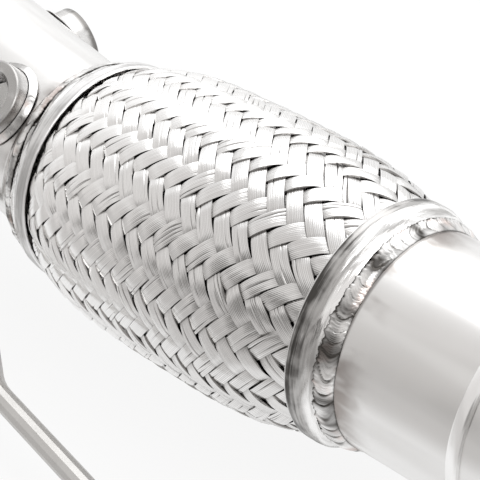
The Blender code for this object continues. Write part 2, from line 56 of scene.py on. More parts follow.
# The liner and the bellows. Thin stainless strip, one wound into a tube and one rolled into folds,
# held at both ends under the collars. They keep their solids and get a dark finish, partly heat stain
# and partly painted shade, so that the braid's gaps read dark.
class Socket:
    """One value in a material's nodes. Python's operators on it add Math nodes."""

    def __init__(self, tree, socket):
        self.tree = tree
        self.socket = socket

    def node(self, kind, inputs, output=0, stops=None, **settings):
        """Adds a node: its settings and a ramp's stops first, then the values or links it takes."""
        made = self.tree.nodes.new(kind)
        for name, value in settings.items():
            setattr(made, name, value)
        if stops:
            while len(made.color_ramp.elements) < len(stops):
                made.color_ramp.elements.new(1.0)
            for element, (place, colour) in zip(made.color_ramp.elements, stops):
                element.position = place
                element.color = (*colour, 1.0)
        for name, value in inputs.items():
            if isinstance(value, Socket):
                self.tree.links.new(value.socket, made.inputs[name])
            else:
                made.inputs[name].default_value = value
        return Socket(self.tree, made.outputs[output])

    def maths(self, operation, *values):
        return self.node("ShaderNodeMath", dict(enumerate(values)), operation=operation)

    def __add__(self, other):
        return self.maths("ADD", self, other)

    def __radd__(self, other):
        return self.maths("ADD", other, self)

    def __sub__(self, other):
        return self.maths("SUBTRACT", self, other)

    def __rsub__(self, other):
        return self.maths("SUBTRACT", other, self)

    def __mul__(self, other):
        return self.maths("MULTIPLY", self, other)

    def __rmul__(self, other):
        return self.maths("MULTIPLY", other, self)

    def size(self):
        return self.maths("ABSOLUTE", self)

    def fade(self, start, end):
        """0 at start, 1 at end, with a soft step between."""
        inputs = {"Value": self, "From Min": start, "From Max": end}
        return self.node("ShaderNodeMapRange", inputs, interpolation_type="SMOOTHSTEP")

    def blend(self, first, second):
        """The first colour where this value is 0, the second where it is 1."""
        first = (*first, 1.0) if isinstance(first, tuple) else first
        second = (*second, 1.0) if isinstance(second, tuple) else second
        return self.node("ShaderNodeMix", {0: self, 6: first, 7: second}, output=2, data_type="RGBA")

    def stretched(self, scale):
        """A vector with each of its axes scaled."""
        inputs = {0: self, 1: scale}
        return self.node("ShaderNodeVectorMath", inputs, operation="MULTIPLY")

    def axis(self, number):
        return self.node("ShaderNodeSeparateXYZ", {0: self}, output=number)

    def along(self, direction):
        """How far a point lies in a direction, which is a vector of length 1."""
        inputs = {0: self, 1: direction}
        return self.node("ShaderNodeVectorMath", inputs, output=1, operation="DOT_PRODUCT")

    def mottle(self, scale, detail=3.0):
        return self.node("ShaderNodeTexNoise", {"Vector": self, "Scale": scale, "Detail": detail})


def point_of(tree):
    """Where on the object a point of its surface is."""
    coordinates = tree.nodes.new("ShaderNodeTexCoord")
    return Socket(tree, coordinates.outputs["Object"])


def new_metal(name):
    """A metal's material, its shader, and the point that is shaded."""
    material = bpy.data.materials.new(name)
    material.use_nodes = True
    tree = material.node_tree
    shader = tree.nodes["Principled BSDF"]
    shader.inputs["Metallic"].default_value = 1.0
    return material, shader, point_of(tree)


def feed(shader, **links):
    for name, link in links.items():
        link.tree.links.new(link.socket, shader.inputs[name.replace("_", " ")])


def bump(height, depth):
    return height.node("ShaderNodeBump", {"Height": height, "Distance": depth})


def strip_stain_and_gap_shade():
    material, shader, place = new_metal("strip_stain_and_gap_shade")
    patches = place.mottle(90.0)
    # The dark colour is partly heat stain and partly painted shade for the gaps in the braid.
    feed(shader, Base_Color=patches.blend((0.20, 0.18, 0.16), (0.36, 0.34, 0.32)))
    feed(shader, Roughness=0.32 + 0.2 * place.mottle(400.0))
    return material


strip_finish = strip_stain_and_gap_shade()
for node in ("flex_liner", "flex_bellows"):
    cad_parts[node].data.materials.clear()
    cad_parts[node].data.materials.append(strip_finish)

# The braid. Flat strands of thin stainless wires laid side by side, woven over two and under two
# round the bellows, with each end gripped under a collar. Every wire of a strand is modelled.
BRAID_STRANDS = 32
BRAID_RIM_RADIUS = 0.0413
BRAID_CROWN_RADIUS = 0.04975
BRAID_END_RADIUS = 0.0403
BRAID_END_REACH = 0.0070        # how far the sleeve runs on under a collar
BRAID_ANGLE = 52.6              # degrees between a strand and the axis, at the crown
BRAID_PHASE = 14.5              # degrees round the axis
INLET_CROWN = (4.04, 0.857)     # the two powers of the sleeve's curve on the inlet's side of its middle
OUTLET_CROWN = (3.58, 1.084)    # and on the outlet's side
STRAND_WIRES = 10
STRAND_WIDTH = 0.91             # share of the room that a strand has
STRAND_THICKNESS = 0.00075
STRAND_LIFT = 0.00075           # how far a strand rises and sinks at a crossing
STRAND_CAMBER = 0.00018         # a strand's middle over its edges
STRAND_ROLL = 0.00028           # how far a strand's edges tip where it lies unevenly
STRAND_DRIFT = 0.025            # share of its room that a strand strays sideways
STRAND_SNAP = 1.3               # how sharply a strand steps over and under
WIRE_RELIEF = 0.00006           # wire's crown over the groove beside it
WIRE_WANDER = 0.00004           # unevenness of the wires' heights
WIRE_TONES = 0.20               # how much darker one wire may be than another
GROOVE_SHADE = 0.43             # how dark the painted shade in the grooves between wires is, from 0 to 1
UNDER_SHADE = 0.72              # how dark the painted shade is where a strand goes under
EDGE_SHADE = 0.22               # how dark the painted shade at its edges is
SPLIT_SHADE = 1.2               # how dark the painted shade in a split is where it is widest
LEAST_SHADE = 0.22              # how strong the painted shade and tones in the weave are at the inlet, against 1 at the outlet
SPLITS = 9                      # places along a strand where its wires part
SPLIT_WIDTH = 0.05              # share of the strand's room
SPLIT_DEPTH = 0.00045
STATIONS_PER_ROW = 4
STRANDS_PER_PIECE = 16


def ease(low, high, value):
    """0 at low, 1 at high, with a soft step between."""
    share = np.clip((value - low) / (high - low), 0.0, 1.0)
    return share * share * (3 - 2 * share)


def braid_radius(x):
    reach = np.abs(x) / rim_reach
    tuck = np.clip((np.abs(x) - rim_reach) / BRAID_END_REACH, 0.0, 1.0)
    power = np.where(x > 0, OUTLET_CROWN[0], INLET_CROWN[0])
    fullness = np.where(x > 0, OUTLET_CROWN[1], INLET_CROWN[1])
    rise = (1 - np.minimum(reach, 1.0) ** power) ** fullness
    under = BRAID_RIM_RADIUS + (BRAID_END_RADIUS - BRAID_RIM_RADIUS) * tuck ** 2
    return np.where(reach < 1.0, BRAID_RIM_RADIUS + (BRAID_CROWN_RADIUS - BRAID_RIM_RADIUS) * rise, under)


def braid_rows():
    """Rows of crossings, counted from the middle, and where each lies along the axis."""
    step = 0.00005
    lay = math.sin(math.radians(BRAID_ANGLE)) / BRAID_CROWN_RADIUS
    numbers, places = [], []
    for direction in (-1, 1):
        x = np.arange(0.0, rim_reach + BRAID_END_REACH, step)
        radius = braid_radius(direction * x)
        slope = np.gradient(radius, step)
        twist = np.cumsum(np.tan(np.arcsin(lay * radius)) / radius * np.hypot(1.0, slope) * step)
        row = twist / (math.pi / BRAID_STRANDS)
        numbers.append(direction * row)
        places.append(direction * x)
    numbers = np.concatenate([numbers[0][::-1], numbers[1]])
    places = np.concatenate([places[0][::-1], places[1]])
    return numbers, places


def make_piece(name, grids, material, nodes, looped=False, sharp=None, shade_and_tones=None):
    """One mesh from grids of points. Each row is a ring, and the rows make a ring too if looped.

    The last argument gives, for each grid, how dark the material paints each point, from 0 to 1: painted
    shade in grooves, gaps and crevices, and the metal's own tones and soot.
    """
    points, faces = [], []
    start = 0
    for grid in grids:
        rows, columns = grid.shape[:2]
        index = start + np.arange(rows * columns).reshape(rows, columns)
        wide = np.hstack([index, index[:, :1]])
        tall = np.vstack([wide, wide[:1]]) if looped else wide
        quads = np.stack([tall[:-1, :-1], tall[:-1, 1:], tall[1:, 1:], tall[1:, :-1]], axis=-1)
        faces += quads.reshape(-1, 4).tolist()
        if not looped:
            faces += [index[0].tolist(), index[-1].tolist()]
        points += grid.reshape(-1, 3).tolist()
        start += rows * columns
    mesh = bpy.data.meshes.new(name)
    mesh.from_pydata(points, [], faces)
    shell = bmesh.new()
    shell.from_mesh(mesh)
    bmesh.ops.recalc_face_normals(shell, faces=shell.faces)
    shell.to_mesh(mesh)
    shell.free()
    mesh.shade_smooth()
    if sharp is None:
        mesh.set_sharp_from_angle(angle=math.radians(40))
    else:
        ends = np.empty(2 * len(mesh.edges), dtype=int)
        mesh.edges.foreach_get("vertices", ends)
        column = (ends % grids[0].shape[1]).reshape(-1, 2)
        keen = np.isin(column[:, 0], sharp) & (column[:, 0] == column[:, 1])
        mesh.attributes.new("sharp_edge", "BOOLEAN", "EDGE").data.foreach_set("value", keen)
    if shade_and_tones is not None:
        values = np.concatenate([depth.ravel() for depth in shade_and_tones])
        mesh.attributes.new("depth", "FLOAT", "POINT").data.foreach_set("value", values)
    return add_piece(name, mesh, material, nodes)


def add_piece(name, mesh, material, nodes):
    mesh.materials.append(material)
    piece = bpy.data.objects.new(name, mesh)
    bpy.context.scene.collection.objects.link(piece)
    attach(piece, "root")
    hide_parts(*nodes)
    return piece


def strand_grid(number, lean, rows, random):
    """One strand from collar to collar, and how dark each of its points is painted: shade where it lies deep
    in the weave, and its wires' own tones.
    """
    row_numbers, row_places = rows
    last = math.floor(min(-row_numbers[0], row_numbers[-1]))
    along = np.linspace(-last, last, 2 * last * STATIONS_PER_ROW + 1)[:, None]
    top = np.linspace(-0.5, 0.5, 2 * STRAND_WIRES + 1)
    width = STRAND_WIDTH * (1 + 0.03 * np.sin(0.5 * along + random.uniform(0, 6)))
    drift = STRAND_DRIFT * np.sin(0.7 * along + random.uniform(0, 6))
    across = width * top[None, :] + drift
    # A strand of the other lean crosses at each whole row, and it goes over two and under two.
    beat = (2 * number + lean * along - 0.5) / 4
    swing = np.tanh(STRAND_SNAP * np.sin(2 * math.pi * beat)) / math.tanh(STRAND_SNAP)
    rise = lean * swing
    wire = np.arange(2 * STRAND_WIRES + 1)
    groove = (wire % 2 == 0) * np.ones_like(along)
    phases = random.uniform(0, 2 * math.pi, (3, STRAND_WIRES))
    wander = sum(np.sin(along * f + phase) for f, phase in zip((0.45, 0.9, 1.7), phases)) / 3
    crowns = WIRE_WANDER * np.repeat(wander, 2, axis=1)
    crowns = np.hstack([crowns, crowns[:, -1:]])
    crowns[:, 2:-1:2] = (crowns[:, 1:-2:2] + crowns[:, 3::2]) / 2
    roll = STRAND_ROLL * np.sin(1.3 * along + random.uniform(0, 6)) * 2 * top[None, :]
    section = roll + crowns - WIRE_RELIEF * groove - STRAND_CAMBER * (2 * top[None, :]) ** 2
    tones = np.repeat(random.uniform(0.0, WIRE_TONES, STRAND_WIRES), 2)[None, :] * (1 - groove[:, 1:])
    # Painted shade in the grooves, where the strand goes under and at its edges, with each wire's own tone.
    depth = GROOVE_SHADE * groove + UNDER_SHADE * ease(0.30, -0.60, rise)
    depth = depth + EDGE_SHADE * ease(0.44, 0.5, np.abs(top))[None, :]
    depth[:, 1:] += tones
    for _ in range(SPLITS):
        split = 2 * random.integers(2, STRAND_WIRES - 1)
        open_here = random.uniform(0.5, 1.0) * np.exp(-((along - random.uniform(-last, last)) / 0.9) ** 2)
        across = across + SPLIT_WIDTH / 2 * open_here * np.sign(wire - split)
        section = section - SPLIT_DEPTH * open_here * (wire == split)
        depth = depth + SPLIT_SHADE * open_here * (wire == split)
    across = np.hstack([across, across[:, -1:], across[:, :1]])
    section = np.hstack([section, np.full((len(along), 2), -STRAND_THICKNESS)])
    depth = np.hstack([depth, np.ones((len(along), 2))])
    # Counted in half strand spacings round the axis and in rows along it.
    turn = 2 * number + lean * along + across
    x = np.interp(along - lean * across, row_numbers, row_places)
    radius = braid_radius(x) + STRAND_LIFT * (rise - 1) + section
    angle = math.radians(BRAID_PHASE) + math.pi / BRAID_STRANDS * turn
    points = np.stack([x, radius * np.cos(angle), radius * np.sin(angle)], axis=-1)
    # The painted shade and tones are weaker toward the inlet.
    shade_and_tone_scale = LEAST_SHADE + (1 - LEAST_SHADE) * ease(-rim_reach, 0.8 * rim_reach, x)
    return points + np.array(middle), np.minimum(depth, 1.0) * shade_and_tone_scale


def shade_and_tone_at(place):
    """The painted shade and tone that make_piece wrote on the mesh as its depth attribute, and 0 where it
    wrote none.
    """
    return place.node("ShaderNodeAttribute", {}, output=2, attribute_name="depth")


def wire_metal():
    material, shader, place = new_metal("drawn_wire")
    patches = place.mottle(70.0)
    grain = place.mottle(900.0)
    bright = patches.blend((0.90, 0.89, 0.88), (0.985, 0.977, 0.97))
    # Painted shade and the wires' tones, from the depth attribute, darken the bright metal.
    feed(shader, Base_Color=shade_and_tone_at(place).blend(bright, (0.17, 0.163, 0.157)))
    feed(shader, Roughness=0.12 + 0.12 * grain)
    return material


def weave():
    random = np.random.default_rng(4)
    finish = wire_metal()
    rows = braid_rows()
    edges = 2 * STRAND_WIRES + np.array((0, 1, 2))
    grooves = np.append(np.arange(0, 2 * STRAND_WIRES, 2), edges)
    for lean, side in ((1, "rising"), (-1, "falling")):
        for first in range(0, BRAID_STRANDS, STRANDS_PER_PIECE):
            strands = [strand_grid(first + k, lean, rows, random) for k in range(STRANDS_PER_PIECE)]
            grids, shade_and_tones = zip(*strands)
            name = f"braid_strands_{side}_{first // STRANDS_PER_PIECE + 1}"
            make_piece(name, grids, finish, ["flex_braid"], sharp=grooves, shade_and_tones=shade_and_tones)


weave()

# The collars. Caps pressed from thin stainless sheet, slid over the braid's ends. The straight band
# is blotched, with painted shade toward its rim and on one side, and a painted highlight along the
# rim's lip. The cone behind it was spun down by hand, so its face is wavy.
COLLAR_RADIUS = 0.04317
COLLAR_WALL = 0.0012
COLLAR_BAND = 0.0045            # where the straight band ends, past the rim
COLLAR_SHOULDER = 0.01024       # where the cone ends
SHOULDER_RADIUS = 0.04054
COLLAR_LENGTH = 0.0126          # where its neck ends, on the tube under the weld
COLLAR_SINK = 0.0002            # how far the cone's face lies under the solid's, but for its waves
COLLAR_WAVES = ((5, 0.00024), (11, 0.00022), (19, 0.00016), (31, 0.00008))  # count, and height
WAVE_SLANT = 90                 # radians that the waves turn round the axis in each metre along it
PIPE_RADIUS = 0.0381
FIT = 0.0003                    # the gap between pieces that touch
COLLAR_STEPS = 256


def arc(centre, radius, start, end, steps):
    """Points of a round edge, as distance along the axis and radius from it."""
    angles = np.radians(np.linspace(start, end, steps))
    return [(centre[0] + radius * math.cos(a), centre[1] + radius * math.sin(a)) for a in angles]


def turned(profile, end, steps):
    """Rings round the axis of the flex section, from distances past a rim and radii."""
    angle = np.linspace(0, 2 * math.pi, steps, endpoint=False)[None, :]
    profile = np.array(profile)
    x = middle.x + end * (rim_reach + profile[:, :1]) + 0 * angle
    return x, profile[:, 1:2] + 0 * angle, angle


def placed(x, radius, angle):
    return np.stack([x, middle.y + radius * np.cos(angle), middle.z + radius * np.sin(angle)], axis=-1)


def collar_metal(name, dark, light):
    """Blotched on the straight band, from dark to light, with painted shade toward the rim and on the side
    toward -Y, and a painted highlight along the rim's lip; bright with dark smears on the cone.
    """
    material, shader, place = new_metal(name)
    patches = place.mottle(38.0, 4.0)
    streaks = place.stretched((1200.0, 45.0, 45.0)).mottle(1.0)
    swirls = place.stretched((300.0, 34.0, 34.0)).mottle(1.0, 4.0).fade(0.36, 0.58)
    past = (place.axis(0) - middle.x).size() - rim_reach
    # Painted shade: on the side toward -Y the dark band reaches up to 2 mm further onto the cone.
    shaded_side = place.axis(1).fade(middle.y - 0.015, middle.y - 0.040)
    border = past + 0.0080 * (patches - 0.5) - 0.0020 * shaded_side
    on_cone = border.fade(COLLAR_BAND - 0.0014, COLLAR_BAND + 0.0014)
    # Painted shade, darker toward the rim by the braid.
    across = 0.15 * border.fade(0.0, COLLAR_BAND) - 0.085
    blotches_and_rim_shade = (0.4 * streaks + 0.6 * place.mottle(85.0, 4.0) + across).fade(0.39, 0.60)
    # A painted highlight, a thin bright line along the rim's lip.
    band_and_rim_highlight = past.fade(0.0009, 0.0004).blend(blotches_and_rim_shade.blend(dark, light), (0.86, 0.855, 0.85))
    bright = swirls.blend((0.44, 0.43, 0.42), (0.96, 0.953, 0.946))
    smears = place.mottle(24.0, 3.0).fade(0.50, 0.64)
    stained = (0.6 * smears).blend(bright, dark)
    feed(shader, Base_Color=on_cone.blend(band_and_rim_highlight, stained))
    feed(shader, Roughness=0.28 - 0.12 * on_cone + 0.10 * streaks)
    feed(shader, Normal=bump(0.3 * streaks + 2 * patches + swirls, 0.00026))
    return material


def make_collar(name, end, finish, random):
    edge = COLLAR_WALL / 2
    lip = PIPE_RADIUS + FIT
    slope = (COLLAR_RADIUS - SHOULDER_RADIUS) / (COLLAR_SHOULDER - COLLAR_BAND)
    inner_end = COLLAR_SHOULDER - COLLAR_WALL
    profile = arc((edge, COLLAR_RADIUS - edge), edge, 270, 90, 9)
    profile += [(s, COLLAR_RADIUS) for s in np.linspace(2 * edge, COLLAR_BAND - edge, 4)]
    cone = np.linspace(COLLAR_BAND, COLLAR_SHOULDER, 12)
    profile += [(s, COLLAR_RADIUS - slope * (s - COLLAR_BAND)) for s in cone]
    profile += [(COLLAR_SHOULDER + FIT / 2, lip + COLLAR_WALL), (COLLAR_LENGTH, lip + COLLAR_WALL)]
    profile += [(COLLAR_LENGTH, lip), (inner_end, lip)]
    profile += [(inner_end, SHOULDER_RADIUS - COLLAR_WALL + slope * COLLAR_WALL)]
    profile += [(COLLAR_BAND, COLLAR_RADIUS - COLLAR_WALL)]
    x, radius, angle = turned(profile, end, COLLAR_STEPS)
    past = end * (x - middle.x) - rim_reach
    outer = radius > SHOULDER_RADIUS - COLLAR_WALL / 4
    on_cone = ease(COLLAR_BAND - 0.001, COLLAR_BAND + 0.002, past) * outer
    waves = 0
    for count, size in COLLAR_WAVES:
        waves = waves + size * np.sin(count * angle + random.uniform(0, 6) + WAVE_SLANT * past * count)
    radius = radius - on_cone * (COLLAR_SINK + waves)
    make_piece(name, [placed(x, radius, angle)], finish, [name], looped=True)


collar_random = np.random.default_rng(7)
# The inlet collar's finish is a lighter copy of the outlet's, painted light where its band shows a bright
# reflection.
lit_copy_collar_finish = collar_metal("lit_copy_collar", (0.50, 0.495, 0.49), (0.78, 0.775, 0.77))
brushed = collar_metal("brushed_collar", (0.075, 0.071, 0.067), (0.50, 0.49, 0.48))
make_collar("collar_inlet", -1, lit_copy_collar_finish, collar_random)
make_collar("collar_outlet", 1, brushed, collar_random)

# The welds between the collars and the tubes. Each is one bead of filler metal laid in short steps,
# so it has fine crescent ripples, lumps where the rod was dipped, and a straw to grey tint.
WELD_END = 0.01519              # past the rim
WELD_RISE = 0.0005              # how far the face bulges
WELD_LAP = 0.0009               # how far the bead runs up on the cone
WELD_SEAT = 0.00003             # its toe over the tube
WELD_SWELL = 0.32               # how much wider the bead is on the side where the welder stopped
COIN_PITCH = 0.0055             # each dip of the filler rod leaves one coin
COIN_HEIGHT = 0.0006
RIPPLES = 5                     # fine ripples on a coin
RIPPLE_HEIGHT = 0.00012
ROUGH_COIN = 0.0004             # with coins this high, a bead is fully ragged and has its full painted shade in its gaps
BEAD_SAMPLES = 32               # stations for each coin
BEAD_COLUMNS = 17
SOOT = ((87, 3), (114, 7), (139, 4), (160, 7), (184, 3), (199, 2))  # degrees round the tube, and reach


def bead_grid(walls, legs, rise, length, random, coin, ripple, lap=0.0, swell=0.0, peak=0.5, soot=()):
    """A bead in the angle between two walls. The walls give its root, and the way out along one wall and
    up the other, for each share of its length.

    It starts at its toe on the wall that runs out and ends on the wall that goes up, or laps over it.
    Coin and ripple are their heights, and peak is where across its face it stands highest.
    """
    corner, out, up = walls
    rough = min(1.0, coin / ROUGH_COIN)
    count = round(length / COIN_PITCH)
    share = np.linspace(0, 1, count * BEAD_SAMPLES, endpoint=False)[:, None]
    v = np.linspace(0, 1, BEAD_COLUMNS)[None, :]
    jitter = sum(np.sin(2 * math.pi * share * k + random.uniform(0, 6)) for k in (3, 7, 13)) * 0.25
    skew = 0.22 * np.sin(2 * math.pi * share * 9 + random.uniform(0, 6))
    beat = share * count + jitter + 0.5 * (2 * v - 1) ** 2 + skew * (2 * v - 1)
    number = np.floor(beat).astype(int) % count
    part = beat % 1.0
    height = random.uniform(0.35, 1.0, count)[number]
    coins = height * ease(0.0, 0.14, part) * (1 - 0.80 * part ** 1.3)
    clear = random.uniform(0.2, 1.0, count)[number]
    crests = 1 - clear * np.abs(2 * ((RIPPLES * part) % 1.0) - 1) ** 2
    face = np.sin(math.pi * v ** (math.log(0.5) / math.log(peak)))
    lift = rise * face ** 0.8 + face ** 0.9 * (coin * coins + ripple * crests)
    ragged = random.uniform(0.0, 1.0, count)[number[:, -1:]] * (0.4 + 0.6 * np.sin(math.pi * part[:, -1:]))
    turns = [round(count * f) for f in (1.3, 2.1, 3.7)]
    fine = sum(np.sin(2 * math.pi * share * k + random.uniform(0, 6)) for k in turns) / 3
    ragged = ragged + 0.40 * fine
    climb = ease(0.62, 1.0, v) * ragged * lap
    swollen = swell * (0.5 - 0.5 * np.cos(2 * math.pi * (share - 0.06))) ** 3
    toe = 1 + swollen + rough * (0.04 * jitter + 0.02 * fine)
    long_leg = math.hypot(*legs)
    a = legs[0] * (1 - v) * toe + lift * legs[1] / long_leg - climb
    b = legs[1] * v + lift * legs[0] / long_leg + 0.5 * climb
    # Painted shade in the crescents where each coin steps down and in the ripples' troughs, with a darker
    # tone on lower coins.
    depth = 0.85 * (1 - ease(0.0, 0.24, part)) + 0.32 * (1 - crests) + 0.75 * (0.62 - height)
    depth = depth * face ** 0.5
    for place, reach in soot:
        depth = depth + 0.85 * np.exp(-(((share * 360 - place) / reach) ** 2))
    # Painted shade along the bead's toes and edges.
    edges = ease(0.90, 1.0, v) * (1.0 if lap else 0.3) + 0.8 * ease(0.08, 0.0, v)
    depth = (depth + edges) * rough
    a = np.hstack([a, np.zeros_like(share)])
    b = np.hstack([b, np.zeros_like(share)])
    depth = np.hstack([depth, np.ones_like(share)])
    roots, outs, ups = corner(share[:, 0]), out(share[:, 0]), up(share[:, 0])
    grid = roots[:, None, :] + a[..., None] * outs[:, None, :] + b[..., None] * ups[:, None, :]
    return grid, np.clip(depth, 0.0, 1.0)


def weld_metal():
    """Bright grey filler metal, with sooty and straw patches, darkened by the bead's depth: painted shade in
    its crevices and along its toes, a tone on lower coins, and soot.
    """
    material, shader, place = new_metal("weld_bead")
    patches = place.mottle(170.0).fade(0.32, 0.62)
    soot = place.mottle(62.0).fade(0.52, 0.66)
    straw = place.mottle(80.0, 2.0).fade(0.54, 0.66)
    grey = patches.blend((0.70, 0.69, 0.68), (0.98, 0.97, 0.96))
    sooty = (0.7 * soot).blend(grey, (0.15, 0.145, 0.14))
    tinted = (0.55 * straw).blend(sooty, (0.60, 0.46, 0.41))
    feed(shader, Base_Color=shade_and_tone_at(place).blend(tinted, (0.07, 0.065, 0.06)))
    feed(shader, Roughness=0.16 + 0.14 * patches)
    return material


def make_bead(name, laid, finish):
    grid, depth = laid
    make_piece(name, [grid], finish, [name], looped=True, shade_and_tones=[depth])


def radial(share):
    angle = 2 * math.pi * share
    return np.stack([0 * angle, np.cos(angle), np.sin(angle)], axis=-1)


def make_collar_weld(name, end, finish, random, soot):
    root_radius = PIPE_RADIUS + WELD_SEAT
    root_reach = rim_reach + COLLAR_SHOULDER + FIT
    legs = (WELD_END - COLLAR_SHOULDER - FIT, SHOULDER_RADIUS - root_radius)

    def corner(share):
        return np.array((middle.x + end * root_reach, middle.y, middle.z)) + root_radius * radial(share)

    def out(share):
        return np.array((end, 0.0, 0.0)) + 0 * radial(share)

    walls = (corner, out, radial)
    length = 2 * math.pi * root_radius
    heights = (COIN_HEIGHT, RIPPLE_HEIGHT, WELD_LAP)
    laid = bead_grid(walls, legs, WELD_RISE, length, random, *heights, swell=WELD_SWELL, soot=soot)
    make_bead(name, laid, finish)


weld_finish = weld_metal()
weld_random = np.random.default_rng(11)
make_collar_weld("weld_inlet_collar", -1, weld_finish, weld_random, ())
make_collar_weld("weld_outlet_collar", 1, weld_finish, weld_random, SOOT)

# The outlet tube. A straight piece of bright stainless tube held in the collar, butt welded to a bend
# of the same tube. Both were polished, and heat has stained the metal beside the collar's weld.
PIPE_WALL = 0.0015
TUBE_START = 0.0094             # past the rim, inside the collar
STUB_END = 0.06285              # past the rim, at the butt weld
OUTLET_STAIN = 0.016            # how far the heat's stain reaches from the weld
OUTLET_LEAD = 0.005             # straight, before the bend
OUTLET_BEND_RADIUS = 0.1143
OUTLET_BEND_ANGLE = 35.0
OUTLET_TAIL = 0.045             # straight, after the bend
TUBE_STEPS = 128


class CentreLine:
    """A tube's centre line, laid on a step at a time, with a heading and a side at each station."""

    def __init__(self, position, heading, side):
        self.stations = [(Vector(position), Vector(heading), Vector(side))]

    def end(self):
        return self.stations[-1]

    def run(self, length, steps=1):
        position, heading, side = self.end()
        for k in range(1, steps + 1):
            self.stations.append((position + heading * (length * k / steps), heading, side))
        return self

    def bend(self, radius, degrees, toward, steps):
        position, heading, side = self.end()
        centre = position + toward * radius
        axis = heading.cross(toward)
        for k in range(1, steps + 1):
            turn = Matrix.Rotation(math.radians(degrees) * k / steps, 3, axis)
            self.stations.append((centre + turn @ (position - centre), turn @ heading, turn @ side))
        return self


def rings(stations, radii, steps):
    angle = np.linspace(0, 2 * math.pi, steps, endpoint=False)[:, None]
    grid = []
    for (position, heading, side), radius in zip(stations, radii):
        other = np.array(heading.cross(side))
        grid.append(np.array(position) + radius * (np.cos(angle) * np.array(side) + np.sin(angle) * other))
    return np.array(grid)


def tube_grid(stations, radii):
    outside = rings(stations, radii, TUBE_STEPS)
    inside = rings(stations, [radius - PIPE_WALL for radius in radii], TUBE_STEPS)
    return np.concatenate([outside, inside[::-1]])


def tube_metal(name, weld_places, dark=(0.69, 0.68, 0.67), light=(0.87, 0.864, 0.856)):
    """Polished tube. Each weld place is where along X a dark line of painted shadow lies, beside the weld's
    toe, and how far its heat stain reaches.
    """
    material, shader, place = new_metal(name)
    x = place.axis(0)
    patches = place.mottle(28.0, 1.0)
    streaks = place.stretched((420.0, 30.0, 30.0)).mottle(1.0, 1.0)
    bands = place.stretched((6.0, 75.0, 75.0)).mottle(1.0, 2.0).fade(0.34, 0.66)
    colour = (0.4 * patches + 0.6 * bands).blend(dark, light)
    scorched = place.stretched((30.0, 75.0, 75.0)).mottle(1.0, 3.0).fade(0.42, 0.60)
    for weld, reach in weld_places:
        off = (x - weld).size()
        tint = 1 - (off + 0.010 * (place.mottle(85.0) - 0.5)).fade(0.0, reach)
        colour = (0.9 * scorched * tint).blend(colour, (0.27, 0.235, 0.215))
        # A thin painted shadow along the weld's toe.
        colour = (0.7 * off.fade(0.0017, 0.0007)).blend(colour, (0.16, 0.145, 0.135))
    feed(shader, Base_Color=colour)
    feed(shader, Roughness=0.20 + 0.03 * streaks + 0.05 * patches)
    feed(shader, Normal=bump(patches, 0.0004))
    return material


def make_outlet():
    rim = middle.x + rim_reach
    weld_toe = rim + WELD_END
    finish = tube_metal("outlet_tube_polish", ((weld_toe, OUTLET_STAIN),))
    stub = CentreLine((rim + TUBE_START, middle.y, middle.z), (1, 0, 0), (0, 1, 0))
    stub.run(STUB_END - TUBE_START, 24)
    grid = tube_grid(stub.stations, [PIPE_RADIUS] * len(stub.stations))
    make_piece("outlet_stub", [grid], finish, ["outlet_stub"], looped=True)
    line = CentreLine((rim + STUB_END + FIT, middle.y, middle.z), (1, 0, 0), (0, 1, 0))
    line.run(OUTLET_LEAD, 2).bend(OUTLET_BEND_RADIUS, OUTLET_BEND_ANGLE, Vector((0, -1, 0)), 24)
    line.run(OUTLET_TAIL, 10)
    grid = tube_grid(line.stations, [PIPE_RADIUS] * len(line.stations))
    make_piece("outlet_bend", [grid], finish, ["outlet_bend"], looped=True)


make_outlet()

# The butt weld in the outlet tube. A low, even bead laid over the joint of the two tube ends, ground
# smooth and polished.
SEAM_WIDTH = 0.0052
SEAM_HEIGHT = 0.0013
SEAM_TAIL = 0.00005             # how high its last edge stands over the tube
SEAM_PEAK = 0.2                 # where across its face it stands highest


def make_seam():
    seam_x = middle.x + rim_reach + STUB_END + FIT / 2
    surface = PIPE_RADIUS + WELD_SEAT

    def corner(share):
        return np.array((seam_x - SEAM_WIDTH / 2, middle.y, middle.z)) + surface * radial(share)

    def out(share):
        return np.array((1.0, 0.0, 0.0)) + 0 * radial(share)

    length = 2 * math.pi * surface
    walls = (corner, out, radial)
    legs = (SEAM_WIDTH, SEAM_TAIL)
    laid = bead_grid(walls, legs, SEAM_HEIGHT, length, weld_random, 0.0, 0.0, peak=SEAM_PEAK)
    finish = tube_metal("seam_polish", (), (0.90, 0.893, 0.886), (0.96, 0.955, 0.95))
    make_bead("weld_outlet_seam", laid, finish)


make_seam()

# The flanges. Square plates cut from thick steel, with rounded corners and four bolt holes, ground
# flat on the face. Each is slid over its tube's end and welded behind.
FLANGE_CORNER = 0.013
BOLT_HOLE_RADIUS = 0.00525
OUTLET_BOLT_EDGE = 0.013        # from a bolt hole's centre to the plate's edge
INLET_BOLT_EDGE = 0.012
INLET_RADIUS = 0.0350
PLATE_EDGE = 0.0006             # radius of a plate's edges
BORE_STEPS = 96
HOLE_STEPS = 40
WELD_LEG = 0.005
FLANGE_WELD_RISE = 0.0003
FLANGE_COIN = 0.00045
FLANGE_RIPPLE = 0.00007


def facing(node):
    """The way that a node's largest flat face looks, turned away from the pipe's middle."""
    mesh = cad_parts[node].data
    areas = {}
    for polygon in mesh.polygons:
        key = tuple(round(value, 2) for value in polygon.normal)
        total, weighted = areas.get(key, (0.0, Vector()))
        areas[key] = (total + polygon.area, weighted + polygon.normal * polygon.area)
    normal = max(areas.values(), key=lambda item: item[0])[1].normalized()
    centre = sum((vert.co for vert in mesh.vertices), Vector()) / len(mesh.vertices)
    return normal if normal.dot(centre - middle) > 0 else -normal


def extent(node, direction):
    reaches = [vert.co.dot(direction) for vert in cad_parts[node].data.vertices]
    return min(reaches), max(reaches)


